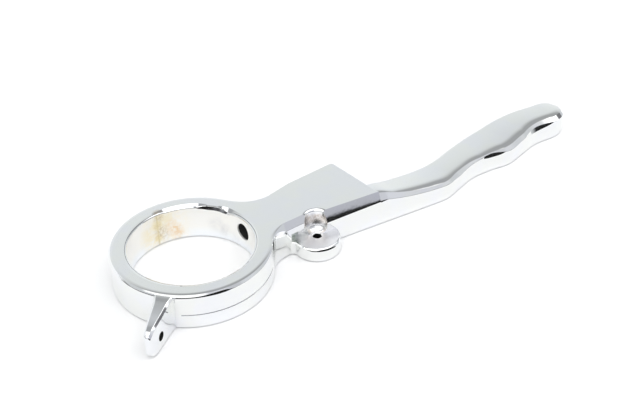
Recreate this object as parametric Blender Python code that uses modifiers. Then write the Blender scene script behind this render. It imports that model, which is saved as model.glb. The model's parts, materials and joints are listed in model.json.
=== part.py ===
"""Ring-type clutch lever.

A cast lever with a lined hub ring, a pivot ear, a spring lug and a wavy grip. A clutch plunger slides in the
arm's radial bore: a spring pushes it towards the hub, a key pin guides it and a plug closes the bore.

Frame: the origin is on the hub axis at the resting plane, +Z runs up the hub axis, and +X runs out along the
plunger's bore, towards the grip. Metres.
"""
import math

import bmesh
import bpy
from mathutils import Matrix, Vector

# Touching pieces keep this gap.
GAP = 0.0003

# Hub ring
RING_RADIUS = 0.025
RING_HEIGHT = 0.01225
RING_EDGE = 0.0008
CASTING_BORE_RADIUS = 0.0203
CASTING_BORE_EDGE = 0.00035
LINER_WALL = 0.0005
LINER_RECESS = 0.0004
LINER_EDGE = 0.0003
LINER_SEAM_ANGLE = math.radians(90)
LINER_SEAM_WIDTH = 0.0005

# Arm block, from the ring to the end face that the plug screws into
BLOCK_END = 0.0613
BLOCK_BACK_END_Y = 0.0060
BLOCK_CORNER_RADIUS = 0.0015
BACK_FILLET_RADIUS = 0.0120
BACK_FILLET_CENTRE = (0.0332, 0.0167)
FRONT_FILLET_RADIUS = 0.0095
FRONT_FILLET_CENTRE = (0.0270, -0.0215)
FRONT_FILLET_END = math.radians(88)
NECK_WALL_END = (0.0347, -0.0123)
FRONT_WALL_START = 0.0394
FRONT_WALL_Y0 = -0.0080
FRONT_WALL_SLOPE = -0.172
FRONT_CHAMFER_WIDTH = 0.0013
FRONT_CHAMFER_DEPTH = 0.0034
FRONT_CHAMFER_REACH = 0.0030

# Pivot ear, its pocket in the block's front wall and the slot beside the pocket
EAR_CENTRE = (0.0376, -0.0146)
EAR_RADIUS = 0.0076
EAR_HEIGHT = 0.0049
EAR_EDGE = 0.0003
EAR_ROOT_FILLET = 0.0017
EAR_ROOT_DEPTH = 0.0020
EAR_END_ANGLE = math.radians(372)
POCKET_RADIUS = 0.0034
POCKET_FLOOR_FILLET = 0.0012
POCKET_EDGE = 0.0008
EAR_HOLE_RADIUS = 0.0013
EAR_HOLE_EDGE = 0.0003
SLOT_START = 0.0293
SLOT_DEPTH_Y = -0.0098
SLOT_HEIGHT = 0.0030

# Line between the ring's lower band and its upper wall, from the lug to the ear
BAND_LINE_DEPTH = 0.0003
BAND_LINE_START = math.radians(-137)
BAND_LINE_END = math.radians(-47)

# Spring lug
LUG_ANGLE = math.radians(-143)
LUG_HOLE_RADIUS = 0.0016
LUG_HOLE_POSITION = (0.0334, 0.0042)
LUG_HOLE_REACH = 0.0050
LUG_EDGE = 0.0007
LUG_EDGE_LIMIT = 0.7
LUG_EDGE_CURVE = 1.4
LUG_BOTTOM_EDGE = (0.0003, 0.0003)
# distance from the hub axis, half thickness, lowest and highest point of each section
LUG_SECTIONS = (
    (0.0225, 0.0036, 0.0000, 0.0112),
    (0.0250, 0.0029, 0.0000, 0.0112),
    (0.0268, 0.0024, 0.0000, 0.0110),
    (0.0310, 0.0020, 0.0000, 0.0105),
    (0.0350, 0.0016, 0.0000, 0.0100),
    (0.0370, 0.0014, 0.0001, 0.0096),
    (0.0384, 0.0012, 0.0008, 0.0089),
    (0.0391, 0.0009, 0.0020, 0.0080),
    (0.0394, 0.0005, 0.0035, 0.0068),
)

# Handle: x, back y, front y and top z at each station, and its rounded tip
HANDLE_STATIONS = (
    (0.0560, -0.0100, -0.01762, 0.01205),
    (0.0600, -0.0100, -0.01831, 0.01205),
    (0.0640, -0.0098, -0.01900, 0.01150),
    (0.0690, -0.0096, -0.01986, 0.00960),
    (0.0750, -0.0096, -0.02089, 0.00830),
    (0.0820, -0.0099, -0.02205, 0.00765),
    (0.0885, -0.0101, -0.02280, 0.00750),
    (0.0950, -0.0096, -0.02150, 0.00755),
    (0.1035, -0.0079, -0.01985, 0.00760),
    (0.1120, -0.0067, -0.02050, 0.00770),
    (0.1200, -0.0062, -0.02205, 0.00800),
    (0.1280, -0.0059, -0.02080, 0.00845),
    (0.1370, -0.0066, -0.01945, 0.00880),
    (0.1460, -0.0084, -0.02060, 0.00880),
)
HANDLE_INSET = 0.00001
HANDLE_STEP = 0.0022
HANDLE_TOP_EDGE = (0.0014, 0.0025)
HANDLE_TOP_CURVE = 1.5
HANDLE_BOTTOM_EDGE = (0.0006, 0.0006)
TIP_LENGTH = 0.0076
TIP_STEPS = 8
TIP_END_ANGLE = math.radians(84)
TIP_WIDTH_POWER = 0.75
TIP_HEIGHT_POWER = 0.9
TIP_HEIGHT_LOSS = 0.62
TIP_RISE = 0.08

# Plunger bore along +X, and what runs in it
BORE_Z = 0.0069
BORE_RADIUS = 0.0031
PLUNGER_RADIUS = 0.0028
PLUNGER_NOSE_X = 0.0233
PLUNGER_LENGTH = 0.0200
PLUNGER_TRAVEL = 0.0065
PLUNGER_EDGE = 0.0004
NOSE_BEVEL_ANGLE = math.radians(50)
NOSE_BEVEL_REACH = 0.0100
KEY_PIN_RADIUS = 0.0010
KEY_PIN_X = 0.0280
KEY_PIN_BOTTOM = 0.0004
KEY_PIN_TOP = 0.0053
KEY_PIN_EDGE = 0.0003
KEYWAY_DEPTH = 0.0015
SPRING_RADIUS = 0.00215
SPRING_WIRE_RADIUS = 0.00035
SPRING_TURNS = 8
SPRING_POINTS_PER_TURN = 12
PLUG_THREAD_RADIUS = 0.0040
PLUG_LENGTH = 0.0055
PLUG_RECESS = 0.0006
PLUG_PILOT_RADIUS = 0.0012
PLUG_PILOT_LENGTH = 0.0030
PLUG_SLOT_WIDTH = 0.0012
PLUG_SLOT_DEPTH = 0.0016
PLUG_EDGE = 0.0005

# Worked out from the above
LINER_OUTER_RADIUS = CASTING_BORE_RADIUS - GAP
LINER_INNER_RADIUS = LINER_OUTER_RADIUS - LINER_WALL
PLUG_OUTER_X = BLOCK_END - PLUG_RECESS
PLUG_INNER_X = PLUG_OUTER_X - PLUG_LENGTH
PLUG_SEAT_X = PLUG_INNER_X - GAP
PLUNGER_TAIL_X = PLUNGER_NOSE_X + PLUNGER_LENGTH
SPRING_START_X = PLUNGER_TAIL_X + GAP + SPRING_WIRE_RADIUS
SPRING_END_X = PLUG_INNER_X - GAP - SPRING_WIRE_RADIUS

PAST = 0.002
TO_X_AXIS = Matrix.Translation((0, 0, BORE_Z)) @ Matrix.Rotation(math.radians(90), 4, "Y")
SHARP_ANGLE = math.radians(35)


def clear_scene():
    for obj in list(bpy.data.objects):
        bpy.data.objects.remove(obj, do_unlink=True)


def new_collection(name):
    collection = bpy.data.collections.new(name)
    bpy.context.scene.collection.children.link(collection)
    return collection


def new_material(name, colour, roughness, metallic=1.0):
    material = bpy.data.materials.new(name)
    material.use_nodes = True
    shader = material.node_tree.nodes["Principled BSDF"]
    shader.inputs["Base Color"].default_value = (*colour, 1.0)
    shader.inputs["Roughness"].default_value = roughness
    shader.inputs["Metallic"].default_value = metallic
    return material


def add_object(name, mesh, collection, material=None):
    obj = bpy.data.objects.new(name, mesh)
    collection.objects.link(obj)
    if material:
        mesh.materials.append(material)
    return obj


def as_cutter(obj):
    obj.hide_render = True
    obj.display_type = "WIRE"
    return obj


def combine(target, tool, operation):
    modifier = target.modifiers.new(f"{operation.lower()} {tool.name}", "BOOLEAN")
    modifier.operation = operation
    modifier.solver = "EXACT"
    modifier.object = tool


def add_bevel(obj, width, segments=2):
    modifier = obj.modifiers.new("edge", "BEVEL")
    modifier.width = width
    modifier.segments = segments
    modifier.limit_method = "ANGLE"
    modifier.angle_limit = math.radians(40)
    modifier.harden_normals = False


def arc(centre, radius, start, end, steps):
    """Points along an arc, from the start angle to the end angle, both included."""
    angles = [start + (end - start) * i / steps for i in range(steps + 1)]
    return [(centre[0] + radius * math.cos(a), centre[1] + radius * math.sin(a)) for a in angles]


def direction(centre, point):
    return math.atan2(point[1] - centre[1], point[0] - centre[0])


def curve_to_mesh(curve, name):
    """The closed mesh of a curve object's evaluated shape, with its caps welded on."""
    holder = bpy.data.objects.new(name, curve)
    bpy.context.scene.collection.objects.link(holder)
    bpy.context.view_layer.update()
    graph = bpy.context.evaluated_depsgraph_get()
    mesh = bpy.data.meshes.new_from_object(holder.evaluated_get(graph))
    bpy.data.objects.remove(holder, do_unlink=True)
    bm = bmesh.new()
    bm.from_mesh(mesh)
    bmesh.ops.remove_doubles(bm, verts=bm.verts, dist=0.000005)
    bmesh.ops.recalc_face_normals(bm, faces=bm.faces)
    bm.to_mesh(mesh)
    bm.free()
    return mesh


def prism(name, outline, low, high, collection, material=None):
    """A flat outline as a filled 2D curve, extruded from low to high along Z."""
    curve = bpy.data.curves.new(name, "CURVE")
    curve.dimensions = "2D"
    curve.fill_mode = "BOTH"
    curve.extrude = (high - low) / 2
    spline = curve.splines.new("POLY")
    spline.points.add(len(outline) - 1)
    for point, (x, y) in zip(spline.points, outline):
        point.co = (x, y, 0, 1)
    spline.use_cyclic_u = True
    mesh = curve_to_mesh(curve, name)
    mesh.transform(Matrix.Translation((0, 0, (high + low) / 2)))
    return add_object(name, mesh, collection, material)


def turned(name, profile, steps, collection, material=None, matrix=None):
    """A profile of (radius, height) points, top to bottom, turned about the local Z axis."""
    mesh = bpy.data.meshes.new(name)
    closed = profile[0][0] > 0
    edges = [(i, i + 1) for i in range(len(profile) - 1)]
    if closed:
        edges.append((len(profile) - 1, 0))
    mesh.from_pydata([(r, 0, z) for r, z in profile], edges, [])
    obj = add_object(name, mesh, collection, material)
    screw = obj.modifiers.new("turn", "SCREW")
    screw.steps = steps
    screw.render_steps = steps
    screw.use_merge_vertices = True
    screw.merge_threshold = 0.000001
    screw.use_smooth_shade = True
    if matrix:
        obj.matrix_world = matrix
    return obj


def tube(name, points, radius, resolution, collection, material=None):
    """A round wire along a row of points, with filled ends."""
    curve = bpy.data.curves.new(name, "CURVE")
    curve.dimensions = "3D"
    curve.bevel_depth = radius
    curve.bevel_resolution = resolution
    curve.use_fill_caps = True
    spline = curve.splines.new("POLY")
    spline.points.add(len(points) - 1)
    for point, place in zip(spline.points, points):
        point.co = (*place, 1)
    return add_object(name, curve_to_mesh(curve, name), collection, material)


def box(name, low, high, collection, matrix=None):
    mesh = bpy.data.meshes.new(name)
    bm = bmesh.new()
    bmesh.ops.create_cube(bm, size=1)
    size = [b - a for a, b in zip(low, high)]
    middle = [(a + b) / 2 for a, b in zip(low, high)]
    bmesh.ops.transform(bm, matrix=Matrix.Translation(middle) @ Matrix.Diagonal((*size, 1)), verts=bm.verts)
    bm.to_mesh(mesh)
    bm.free()
    obj = add_object(name, mesh, collection)
    if matrix:
        obj.matrix_world = matrix
    return obj


def loft(name, sections, collection, material=None):
    """A closed skin over sections that have the same number of points, with a flat cap at each end."""
    bm = bmesh.new()
    rings = [[bm.verts.new(point) for point in section] for section in sections]
    count = len(sections[0])
    for ring, following in zip(rings, rings[1:]):
        for i in range(count):
            j = (i + 1) % count
            bm.faces.new((ring[i], ring[j], following[j], following[i]))
    bm.faces.new(rings[0])
    bm.faces.new(rings[-1])
    bmesh.ops.recalc_face_normals(bm, faces=bm.faces)
    mesh = bpy.data.meshes.new(name)
    bm.to_mesh(mesh)
    bm.free()
    mesh.shade_smooth()
    mesh.set_sharp_from_angle(angle=SHARP_ANGLE)
    return add_object(name, mesh, collection, material)


def rounded_section(left, right, low, high, top_edge, bottom_edge, top_power, steps=5):
    """Corner-rounded rectangle as (across, up) points; an edge is its (width, height)."""
    corners = (
        (left, low, 1, 1, bottom_edge, 2.0, False),
        (right, low, -1, 1, bottom_edge, 2.0, True),
        (right, high, -1, -1, top_edge, top_power, False),
        (left, high, 1, -1, top_edge, top_power, True),
    )
    widest = abs(right - left) / 2
    tallest = (high - low) / 2
    points = []
    for across, up, side, rise, (width, height), power, from_below in corners:
        width = min(width, widest)
        height = min(height, tallest)
        for i in range(steps + 1):
            angle = math.radians(90) * i / steps
            a = math.cos(angle) ** (2 / power)
            b = math.sin(angle) ** (2 / power)
            if from_below:
                a, b = b, a
            points.append((across + side * width * (1 - a), up + rise * height * (1 - b)))
    return points


def smooth_row(rows, x):
    """Values at x on the smooth curve through rows of (x, value, value...)."""
    last = len(rows) - 2
    i = max(k for k in range(last + 1) if k == 0 or rows[k][0] <= x)
    before = rows[max(i - 1, 0)]
    start, end = rows[i], rows[i + 1]
    after = rows[min(i + 2, last + 1)]
    span = end[0] - start[0]
    t = (x - start[0]) / span
    values = []
    for k in range(1, len(start)):
        slope_in = (end[k] - before[k]) / (end[0] - before[0]) * span
        slope_out = (after[k] - start[k]) / (after[0] - start[0]) * span
        values.append(
            (2 * t**3 - 3 * t**2 + 1) * start[k]
            + (t**3 - 2 * t**2 + t) * slope_in
            + (3 * t**2 - 2 * t**3) * end[k]
            + (t**3 - t**2) * slope_out
        )
    return values


def front_wall_y(x):
    return FRONT_WALL_Y0 + FRONT_WALL_SLOPE * x


def arm_outline():
    """Outline of the ring, the neck and the block, anticlockwise from the block's front corner."""
    back_end = (BLOCK_END, BLOCK_BACK_END_Y)
    corner = (back_end[0] - BLOCK_CORNER_RADIUS, back_end[1] - BLOCK_CORNER_RADIUS)
    ring_back = direction((0, 0), BACK_FILLET_CENTRE)
    ring_front = direction((0, 0), FRONT_FILLET_CENTRE)
    back_from = math.radians(270)
    back_to = direction(BACK_FILLET_CENTRE, (0, 0)) % math.tau
    front_from = direction(FRONT_FILLET_CENTRE, (0, 0))
    points = [(BLOCK_END, front_wall_y(BLOCK_END))]
    points += arc(corner, BLOCK_CORNER_RADIUS, 0, math.radians(90), 4)
    points += arc(BACK_FILLET_CENTRE, BACK_FILLET_RADIUS, back_from, back_to, 10)[:-1]
    points += arc((0, 0), RING_RADIUS, ring_back, ring_front + math.tau, 84)[:-1]
    points += arc(FRONT_FILLET_CENTRE, FRONT_FILLET_RADIUS, front_from, FRONT_FILLET_END, 8)
    points += [NECK_WALL_END, (FRONT_WALL_START, front_wall_y(FRONT_WALL_START))]
    return points


def ear_outline():
    """Outline of the ear: its round end, the fillet at its left root, and a root inside the block."""
    wall = FRONT_FILLET_CENTRE[1] + FRONT_FILLET_RADIUS
    fillet_y = wall - EAR_ROOT_FILLET
    reach = EAR_RADIUS + EAR_ROOT_FILLET
    fillet_x = EAR_CENTRE[0] - math.sqrt(reach**2 - (fillet_y - EAR_CENTRE[1]) ** 2)
    fillet = (fillet_x, fillet_y)
    meets_ear = direction(fillet, EAR_CENTRE)
    ear_from = direction(EAR_CENTRE, fillet) % math.tau
    points = arc(fillet, EAR_ROOT_FILLET, FRONT_FILLET_END, meets_ear, 5)
    points += arc(EAR_CENTRE, EAR_RADIUS, ear_from, EAR_END_ANGLE, 26)[1:]
    root_y = wall + EAR_ROOT_DEPTH
    points += [(EAR_CENTRE[0] + EAR_RADIUS, root_y), (fillet_x, root_y)]
    return points


def ear_cutter(cutters):
    """The pocket down to the ear's top, with a rounded rim and floor, and the pin hole below it."""
    x, y = EAR_CENTRE
    floor = EAR_HEIGHT
    rim = POCKET_RADIUS + POCKET_EDGE
    profile = [(0, RING_HEIGHT + PAST), (rim, RING_HEIGHT + PAST), (rim, RING_HEIGHT)]
    rounding = arc((0, POCKET_EDGE), POCKET_EDGE, math.radians(-60), 0, 3)
    profile += [(rim - r, RING_HEIGHT - z) for r, z in rounding]
    fillet_centre = (POCKET_RADIUS - POCKET_FLOOR_FILLET, floor + POCKET_FLOOR_FILLET)
    profile += arc(fillet_centre, POCKET_FLOOR_FILLET, 0, math.radians(-90), 4)
    profile += [(EAR_HOLE_RADIUS + EAR_HOLE_EDGE, floor), (EAR_HOLE_RADIUS, floor - EAR_HOLE_EDGE)]
    profile += [(EAR_HOLE_RADIUS, -PAST), (0, -PAST)]
    return as_cutter(turned("ear pocket", profile, 48, cutters, matrix=Matrix.Translation((x, y, 0))))


def front_chamfer_cutter(cutters):
    """A wedge along the block's front top edge, from the pocket to the block's end."""
    start_x = EAR_CENTRE[0]
    start = Vector((start_x, front_wall_y(start_x), 0))
    end = Vector((BLOCK_END + PAST, front_wall_y(BLOCK_END + PAST), 0))
    length = (end - start).length
    rise = FRONT_CHAMFER_DEPTH / FRONT_CHAMFER_WIDTH
    section = [
        (-FRONT_CHAMFER_WIDTH, RING_HEIGHT),
        (FRONT_CHAMFER_REACH, RING_HEIGHT - (FRONT_CHAMFER_WIDTH + FRONT_CHAMFER_REACH) * rise),
        (FRONT_CHAMFER_REACH, RING_HEIGHT + PAST),
        (-FRONT_CHAMFER_WIDTH - PAST / rise, RING_HEIGHT + PAST),
    ]
    wedge = prism("front chamfer", section, 0, length, cutters)
    along = (end - start).normalized()
    outward = along.cross(Vector((0, 0, 1)))
    axes = Matrix((outward, Vector((0, 0, 1)), along)).transposed().to_4x4()
    wedge.matrix_world = Matrix.Translation(start) @ axes
    return as_cutter(wedge)


def handle_sections():
    first, last = HANDLE_STATIONS[0][0], HANDLE_STATIONS[-1][0]
    steps = round((last - first) / HANDLE_STEP)
    sections = []
    for i in range(steps + 1):
        x = first + (last - first) * i / steps
        back, front, top = smooth_row(HANDLE_STATIONS, x)
        ring = rounded_section(
            front + HANDLE_INSET, back, 0, top, HANDLE_TOP_EDGE, HANDLE_BOTTOM_EDGE, HANDLE_TOP_CURVE
        )
        sections.append([(x, y, z) for y, z in ring])
    middle = (back + front) / 2
    half_width = abs(back - front) / 2
    half_height = top / 2
    for i in range(1, TIP_STEPS + 1):
        angle = TIP_END_ANGLE * i / TIP_STEPS
        width = half_width * math.cos(angle) ** TIP_WIDTH_POWER
        height = half_height * (1 - TIP_HEIGHT_LOSS * (1 - math.cos(angle) ** TIP_HEIGHT_POWER))
        x = last + TIP_LENGTH * math.sin(angle)
        centre_z = half_height * (1 + TIP_RISE * (1 - math.cos(angle)))
        ring = rounded_section(
            middle - width, middle + width, centre_z - height, centre_z + height,
            HANDLE_TOP_EDGE, HANDLE_BOTTOM_EDGE, HANDLE_TOP_CURVE,
        )
        sections.append([(x, y, z) for y, z in ring])
    return sections


def lug_sections():
    outward = Vector((math.cos(LUG_ANGLE), math.sin(LUG_ANGLE), 0))
    across = Vector((-outward.y, outward.x, 0))
    sections = []
    for reach, half, low, high in LUG_SECTIONS:
        edge = min(LUG_EDGE, half * LUG_EDGE_LIMIT)
        ring = rounded_section(-half, half, low, high, (edge, edge), LUG_BOTTOM_EDGE, LUG_EDGE_CURVE)
        sections.append([outward * reach + across * a + Vector((0, 0, z)) for a, z in ring])
    return sections


def make_casting(parts, cutters, material):
    casting = prism("lever_casting", arm_outline(), 0, RING_HEIGHT, parts, material)
    add_bevel(casting, RING_EDGE)

    ear = prism("ear", ear_outline(), 0, EAR_HEIGHT, cutters)
    add_bevel(ear, EAR_EDGE, segments=1)
    handle = loft("handle", handle_sections(), cutters)
    lug = loft("lug", lug_sections(), cutters)
    combine(casting, front_chamfer_cutter(cutters), "DIFFERENCE")
    for piece in (ear, lug, handle):
        combine(casting, as_cutter(piece), "UNION")

    edge = CASTING_BORE_EDGE
    bore_profile = [
        (0, RING_HEIGHT + PAST),
        (CASTING_BORE_RADIUS + edge + PAST, RING_HEIGHT + PAST),
        (CASTING_BORE_RADIUS, RING_HEIGHT - edge),
        (CASTING_BORE_RADIUS, edge),
        (CASTING_BORE_RADIUS + edge + PAST, -PAST),
        (0, -PAST),
    ]
    plunger_profile = [
        (0, BLOCK_END + PAST),
        (PLUG_THREAD_RADIUS + GAP, BLOCK_END + PAST),
        (PLUG_THREAD_RADIUS + GAP, PLUG_SEAT_X),
        (BORE_RADIUS, PLUG_SEAT_X),
        (BORE_RADIUS, CASTING_BORE_RADIUS - PAST),
        (0, CASTING_BORE_RADIUS - PAST),
    ]
    key_hole = [
        (0, BORE_Z - PLUNGER_RADIUS / 2),
        (KEY_PIN_RADIUS + GAP, BORE_Z - PLUNGER_RADIUS / 2),
        (KEY_PIN_RADIUS + GAP, -PAST),
        (0, -PAST),
    ]
    lug_hole = [
        (0, LUG_HOLE_REACH),
        (LUG_HOLE_RADIUS, LUG_HOLE_REACH),
        (LUG_HOLE_RADIUS, -LUG_HOLE_REACH),
        (0, -LUG_HOLE_REACH),
    ]
    reach, lug_z = LUG_HOLE_POSITION
    at_lug = (
        Matrix.Rotation(LUG_ANGLE, 4, "Z")
        @ Matrix.Translation((reach, 0, lug_z))
        @ Matrix.Rotation(math.radians(90), 4, "X")
    )
    slot_low = (SLOT_START, EAR_CENTRE[1], EAR_HEIGHT)
    slot_high = (EAR_CENTRE[0] - POCKET_RADIUS / 2, SLOT_DEPTH_Y, EAR_HEIGHT + SLOT_HEIGHT)
    line = arc((0, 0), RING_RADIUS, BAND_LINE_START, BAND_LINE_END, 24)
    line = [(x, y, EAR_HEIGHT) for x, y in line]
    tools = (
        turned("hub bore", bore_profile, 96, cutters),
        turned("plunger bore", plunger_profile, 32, cutters, matrix=TO_X_AXIS),
        turned("key pin hole", key_hole, 20, cutters, matrix=Matrix.Translation((KEY_PIN_X, 0, 0))),
        turned("lug hole", lug_hole, 20, cutters, matrix=at_lug),
        ear_cutter(cutters),
        box("ear slot", slot_low, slot_high, cutters),
        tube("band line", line, BAND_LINE_DEPTH, 1, cutters),
    )
    for tool in tools:
        combine(casting, as_cutter(tool), "DIFFERENCE")


def make_liner(parts, cutters, material):
    """A rolled bush with a seam, and a hole that the plunger passes."""
    top, bottom = RING_HEIGHT - LINER_RECESS, LINER_RECESS
    edge = LINER_EDGE
    profile = [
        (LINER_OUTER_RADIUS, top),
        (LINER_OUTER_RADIUS, bottom),
        (LINER_INNER_RADIUS + edge, bottom),
        (LINER_INNER_RADIUS, bottom + edge),
        (LINER_INNER_RADIUS, top - edge),
        (LINER_INNER_RADIUS + edge, top),
    ]
    liner = turned("bore_liner", profile, 96, parts, material)
    seam_at = Matrix.Rotation(LINER_SEAM_ANGLE, 4, "Z")
    low = (LINER_INNER_RADIUS - PAST, -LINER_SEAM_WIDTH / 2, -PAST)
    high = (LINER_OUTER_RADIUS + PAST, LINER_SEAM_WIDTH / 2, RING_HEIGHT + PAST)
    combine(liner, as_cutter(box("liner seam", low, high, cutters, seam_at)), "DIFFERENCE")
    window = [
        (0, LINER_OUTER_RADIUS + PAST),
        (BORE_RADIUS, LINER_OUTER_RADIUS + PAST),
        (BORE_RADIUS, LINER_INNER_RADIUS / 2),
        (0, LINER_INNER_RADIUS / 2),
    ]
    hole = turned("liner window", window, 32, cutters, matrix=TO_X_AXIS)
    combine(liner, as_cutter(hole), "DIFFERENCE")


def make_plunger(parts, cutters, material):
    """A round plunger, its nose bevelled on one side and its underside slotted for the key pin."""
    edge = PLUNGER_EDGE
    profile = [
        (0, PLUNGER_TAIL_X),
        (PLUNGER_RADIUS - edge, PLUNGER_TAIL_X),
        (PLUNGER_RADIUS, PLUNGER_TAIL_X - edge),
        (PLUNGER_RADIUS, PLUNGER_NOSE_X + edge),
        (PLUNGER_RADIUS - edge, PLUNGER_NOSE_X),
        (0, PLUNGER_NOSE_X),
    ]
    # The local Z axis is the joint's axis, so the plunger's origin lies on it.
    plunger = turned("clutch_plunger", profile, 32, parts, material, matrix=TO_X_AXIS)
    slope = Matrix.Translation((PLUNGER_NOSE_X, 0, BORE_Z)) @ Matrix.Rotation(NOSE_BEVEL_ANGLE, 4, "Z")
    reach = NOSE_BEVEL_REACH
    bevel = box("nose bevel", (-reach, 0, -reach), (reach, reach, reach), cutters, slope)
    keyway_start = KEY_PIN_X - KEY_PIN_RADIUS - GAP
    keyway_end = KEY_PIN_X + KEY_PIN_RADIUS + GAP + PLUNGER_TRAVEL
    half = KEY_PIN_RADIUS + GAP
    keyway_top = BORE_Z - PLUNGER_RADIUS + KEYWAY_DEPTH
    keyway = box("keyway", (keyway_start, -half, 0), (keyway_end, half, keyway_top), cutters)
    for tool in (bevel, keyway):
        combine(plunger, as_cutter(tool), "DIFFERENCE")


def make_key_pin(parts, material):
    edge = KEY_PIN_EDGE
    profile = [
        (0, KEY_PIN_TOP),
        (KEY_PIN_RADIUS - edge, KEY_PIN_TOP),
        (KEY_PIN_RADIUS, KEY_PIN_TOP - edge),
        (KEY_PIN_RADIUS, KEY_PIN_BOTTOM + edge),
        (KEY_PIN_RADIUS - edge, KEY_PIN_BOTTOM),
        (0, KEY_PIN_BOTTOM),
    ]
    turned("plunger_key_pin", profile, 20, parts, material, matrix=Matrix.Translation((KEY_PIN_X, 0, 0)))


def make_spring(parts, material):
    count = SPRING_TURNS * SPRING_POINTS_PER_TURN
    points = []
    for i in range(count + 1):
        angle = math.tau * i / SPRING_POINTS_PER_TURN
        x = SPRING_START_X + (SPRING_END_X - SPRING_START_X) * i / count
        points.append((x, SPRING_RADIUS * math.cos(angle), BORE_Z + SPRING_RADIUS * math.sin(angle)))
    tube("plunger_spring", points, SPRING_WIRE_RADIUS, 1, parts, material)


def make_plug(parts, cutters, material):
    """A slotted screw plug with a pilot inside the spring."""
    edge = PLUG_EDGE
    pilot_end = PLUG_INNER_X - PLUG_PILOT_LENGTH
    profile = [
        (0, PLUG_OUTER_X),
        (PLUG_THREAD_RADIUS - edge, PLUG_OUTER_X),
        (PLUG_THREAD_RADIUS, PLUG_OUTER_X - edge),
        (PLUG_THREAD_RADIUS, PLUG_INNER_X + edge),
        (PLUG_THREAD_RADIUS - edge, PLUG_INNER_X),
        (PLUG_PILOT_RADIUS, PLUG_INNER_X),
        (PLUG_PILOT_RADIUS, pilot_end + edge),
        (PLUG_PILOT_RADIUS - edge, pilot_end),
        (0, pilot_end),
    ]
    plug = turned("spring_plug", profile, 32, parts, material, matrix=TO_X_AXIS)
    half = PLUG_SLOT_WIDTH / 2
    low = (PLUG_OUTER_X - PLUG_SLOT_DEPTH, -PAST * 3, BORE_Z - half)
    high = (PLUG_OUTER_X + PAST, PAST * 3, BORE_Z + half)
    combine(plug, as_cutter(box("plug slot", low, high, cutters)), "DIFFERENCE")


def main():
    clear_scene()
    parts = new_collection("clutch_lever")
    cutters = new_collection("cutters")
    chrome = new_material("chrome plate", (0.80, 0.81, 0.82), 0.06)
    liner = new_material("stained nickel liner", (0.74, 0.71, 0.64), 0.30)
    steel = new_material("hardened steel", (0.46, 0.46, 0.47), 0.30)
    spring_steel = new_material("spring steel", (0.36, 0.37, 0.39), 0.35)
    pin_steel = new_material("ground pin steel", (0.58, 0.58, 0.59), 0.22)
    zinc = new_material("zinc plated steel", (0.66, 0.67, 0.68), 0.28)
    make_casting(parts, cutters, chrome)
    make_liner(parts, cutters, liner)
    make_plunger(parts, cutters, steel)
    make_key_pin(parts, pin_steel)
    make_spring(parts, spring_steel)
    make_plug(parts, cutters, zinc)


main()
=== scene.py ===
"""Visible model of a ring-type clutch lever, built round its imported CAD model.

Six finer pieces stand for the CAD nodes: casting, liner, plunger, key pin, spring and plug.
Lengths are in metres.
"""
import json
import math
from collections import namedtuple

import bmesh
import bpy
from mathutils import Matrix, Vector

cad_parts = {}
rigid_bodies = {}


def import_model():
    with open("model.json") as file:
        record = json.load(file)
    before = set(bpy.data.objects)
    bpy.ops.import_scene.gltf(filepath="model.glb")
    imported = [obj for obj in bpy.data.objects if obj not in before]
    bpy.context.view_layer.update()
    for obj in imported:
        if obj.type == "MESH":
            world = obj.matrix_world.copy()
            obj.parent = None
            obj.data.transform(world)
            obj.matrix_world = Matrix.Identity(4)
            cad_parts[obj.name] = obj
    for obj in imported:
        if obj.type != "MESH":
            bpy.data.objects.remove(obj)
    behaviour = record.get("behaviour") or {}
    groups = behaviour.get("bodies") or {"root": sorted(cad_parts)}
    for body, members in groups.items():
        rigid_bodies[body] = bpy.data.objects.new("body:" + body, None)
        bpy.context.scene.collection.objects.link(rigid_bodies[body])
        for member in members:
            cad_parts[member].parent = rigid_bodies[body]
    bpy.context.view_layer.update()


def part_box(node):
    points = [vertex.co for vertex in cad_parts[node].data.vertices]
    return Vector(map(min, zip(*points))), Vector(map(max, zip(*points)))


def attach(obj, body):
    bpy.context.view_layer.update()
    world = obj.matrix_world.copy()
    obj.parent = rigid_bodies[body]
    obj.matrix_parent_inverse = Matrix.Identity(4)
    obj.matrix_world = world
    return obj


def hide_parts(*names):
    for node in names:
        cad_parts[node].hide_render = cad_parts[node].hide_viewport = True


# Hub ring and its bore
RING_RADIUS = 0.025
BOTTOM_ROUNDING = 0.0006
BORE_RADIUS = 0.0200
# Depth and outer radius of the chamfer at the bore's mouth, by angle in degrees
BORE_MOUTH_ROWS = (
    (0, 0.00045, 0.02050),
    (10, 0.00060, 0.02060),
    (18, 0.00085, 0.02080),
    (23, 0.00070, 0.02090),
    (29, 0.00016, 0.02070),
    (44, 0.00016, 0.02070),
    (50, 0.00050, 0.02095),
    (79, 0.00050, 0.02095),
    (87, 0.00018, 0.02095),
    (200, 0.00018, 0.02080),
    (245, 0.00030, 0.02065),
    (330, 0.00030, 0.02050),
    (360, 0.00045, 0.02050),
)
LINER_GAP = 0.00002
LINER_WALL = 0.00048
LINER_LIP = 0.00033
LINER_LIP_DROP = 0.00016
LINER_LIP_INNER = 0.01952
LIP_LOWEST = 0.0105
LINER_BOTTOM = 0.0004
LINER_FOOT = 0.0002
LINER_SEAM_ANGLE = math.radians(90)
LINER_SEAM_WIDTH = 0.00005
RUST_ANGLE = math.radians(87)

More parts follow.
